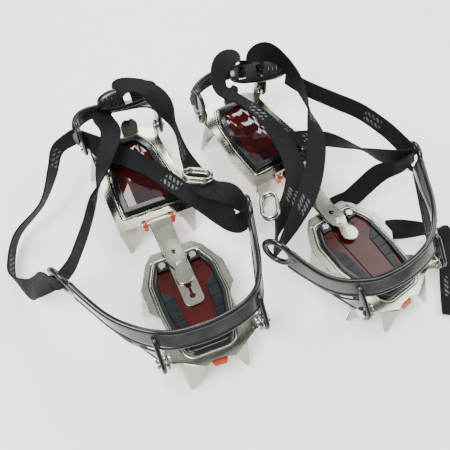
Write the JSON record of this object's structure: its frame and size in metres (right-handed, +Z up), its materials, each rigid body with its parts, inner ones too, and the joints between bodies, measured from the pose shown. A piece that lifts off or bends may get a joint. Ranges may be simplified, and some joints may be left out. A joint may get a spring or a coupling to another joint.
{
  "type": "strap-on crampons (pair)",
  "caption": "Pair of strap-on steel crampons with anti-balling plates, flexible toe and heel harnesses and webbing straps.",
  "frame": {"origin": "centre of the pair's footprint, on the plane that the point tips stand on", "axes": "+Z up, -Y towards the toes, +Y towards the heels, +X from the left crampon to the right one, along the left crampon's own axes"},
  "size_m": [0.3977, 0.3228, 0.1006],
  "materials": {
    "steel": "satin",
    "bright_steel": "polished",
    "abs_maroon": "gloss",
    "abs_orange": "satin",
    "rubber_dark": "satin",
    "rubber_black": "satin",
    "harness_smoke": "gloss",
    "webbing": "matte"
  },
  "bodies": {
    "left_front": {"left_front_frame": "steel", "left_front_plate": "abs_maroon", "left_front_pads": "rubber_dark", "left_front_underplate": "abs_orange", "left_front_plate_pins": "bright_steel", "left_bar_guide": "rubber_black", "left_guide_posts": "bright_steel", "left_leaf_tongue": "steel", "left_leaf_rivet": "bright_steel", "left_toe_rivets": "bright_steel"},
    "left_leaf": {"left_lock_leaf": "steel", "left_leaf_stud": "bright_steel"},
    "left_bar": {"left_center_bar": "steel"},
    "left_heel": {"left_hook_pin": "bright_steel", "left_heel_frame": "steel", "left_heel_rim": "rubber_black", "left_heel_panel": "abs_maroon", "left_heel_underplate": "abs_orange", "left_heel_plate_pins": "bright_steel", "left_heel_rivets": "bright_steel"},
    "left_toe_strap": {"left_toe_harness": "harness_smoke", "left_strap_rings": "bright_steel", "left_strap_2": "webbing"},
    "left_heel_strap": {"left_heel_harness": "harness_smoke", "left_heel_buckle": "rubber_black", "left_strap_1": "webbing", "left_strap_3": "webbing", "left_strap_4": "webbing"},
    "right_front": {"right_front_frame": "steel", "right_front_plate": "abs_maroon", "right_front_pads": "rubber_dark", "right_front_underplate": "abs_orange", "right_front_plate_pins": "bright_steel", "right_bar_guide": "rubber_black", "right_guide_posts": "bright_steel", "right_leaf_tongue": "steel", "right_leaf_rivet": "bright_steel", "right_toe_rivets": "bright_steel"},
    "right_leaf": {"right_lock_leaf": "steel", "right_leaf_stud": "bright_steel"},
    "right_bar": {"right_center_bar": "steel"},
    "right_heel": {"right_hook_pin": "bright_steel", "right_heel_frame": "steel", "right_heel_rim": "rubber_black", "right_heel_panel": "abs_maroon", "right_heel_underplate": "abs_orange", "right_heel_plate_pins": "bright_steel", "right_heel_rivets": "bright_steel"},
    "right_toe_strap": {"right_toe_harness": "harness_smoke", "right_strap_rings": "bright_steel", "right_strap_4": "webbing", "right_strap_5": "webbing", "right_strap_6": "webbing"},
    "right_heel_strap": {"right_heel_harness": "harness_smoke", "right_heel_buckle": "rubber_black", "right_strap_1": "webbing", "right_strap_2": "webbing", "right_strap_3": "webbing"}
  },
  "joints": [
    {"name": "left_bar_slide", "type": "slide", "parent": "left_front", "child": "left_bar", "axis": [0, 1, 0], "range_m": [-0.01, 0.03], "deforming": ["left_strap_1", "left_strap_2", "left_strap_3", "left_strap_4"]},
    {"name": "left_heel_pitch", "type": "hinge", "parent": "left_bar", "child": "left_heel", "pos_m": [-0.0698, 0.0223, 0.0305], "axis": [1, 0, 0], "range_deg": [-6, 15], "deforming": ["left_strap_1", "left_strap_2", "left_strap_3", "left_strap_4"]},
    {"name": "left_leaf_lift", "type": "hinge", "parent": "left_front", "child": "left_leaf", "pos_m": [-0.0698, -0.0231, 0.03575], "axis": [1, 0, 0], "range_deg": [0, 8], "stiffness_Nm_per_rad": 0.6},
    {"name": "left_toe_harness_swing", "type": "hinge", "parent": "left_front", "child": "left_toe_strap", "pos_m": [-0.0698, -0.1097, 0.041], "axis": [1, 0, 0], "range_deg": [-12, 10], "deforming": ["left_strap_1", "left_strap_2", "left_strap_3", "left_strap_4"]},
    {"name": "left_heel_harness_swing", "type": "hinge", "parent": "left_heel", "child": "left_heel_strap", "pos_m": [-0.0698, 0.1283, 0.041], "axis": [1, 0, 0], "range_deg": [-20, 30], "deforming": ["left_strap_1", "left_strap_2", "left_strap_3", "left_strap_4"]},
    {"name": "right_bar_slide", "type": "slide", "parent": "right_front", "child": "right_bar", "axis": [-0.165, 0.9863, 0], "range_m": [0, 0.015], "deforming": ["right_strap_1", "right_strap_2", "right_strap_3", "right_strap_4", "right_strap_5", "right_strap_6"]},
    {"name": "right_heel_pitch", "type": "hinge", "parent": "right_bar", "child": "right_heel", "pos_m": [0.0714, 0.02505, 0.0305], "axis": [0.9863, 0.165, 0], "range_deg": [-6, 15], "deforming": ["right_strap_1", "right_strap_2", "right_strap_3", "right_strap_4", "right_strap_5", "right_strap_6"]},
    {"name": "right_leaf_lift", "type": "hinge", "parent": "right_front", "child": "right_leaf", "pos_m": [0.08286, -0.0434, 0.03575], "axis": [0.9863, 0.165, 0], "range_deg": [0, 8], "stiffness_Nm_per_rad": 0.6},
    {"name": "right_toe_harness_swing", "type": "hinge", "parent": "right_front", "child": "right_toe_strap", "pos_m": [0.09715, -0.12881, 0.041], "axis": [0.9863, 0.165, 0], "range_deg": [-3, 30], "deforming": ["right_strap_1", "right_strap_2", "right_strap_3", "right_strap_4", "right_strap_5", "right_strap_6"]},
    {"name": "right_heel_harness_swing", "type": "hinge", "parent": "right_heel", "child": "right_heel_strap", "pos_m": [0.05391, 0.12959, 0.041], "axis": [0.9863, 0.165, 0], "range_deg": [-20, 30], "deforming": ["right_strap_1", "right_strap_2", "right_strap_3", "right_strap_4", "right_strap_5", "right_strap_6"]},
    {"name": "right_crampon_lift", "type": "slide", "parent": "left_front", "child": "right_front", "axis": [0, 0, 1], "range_m": [0, 0.08]}
  ]
}
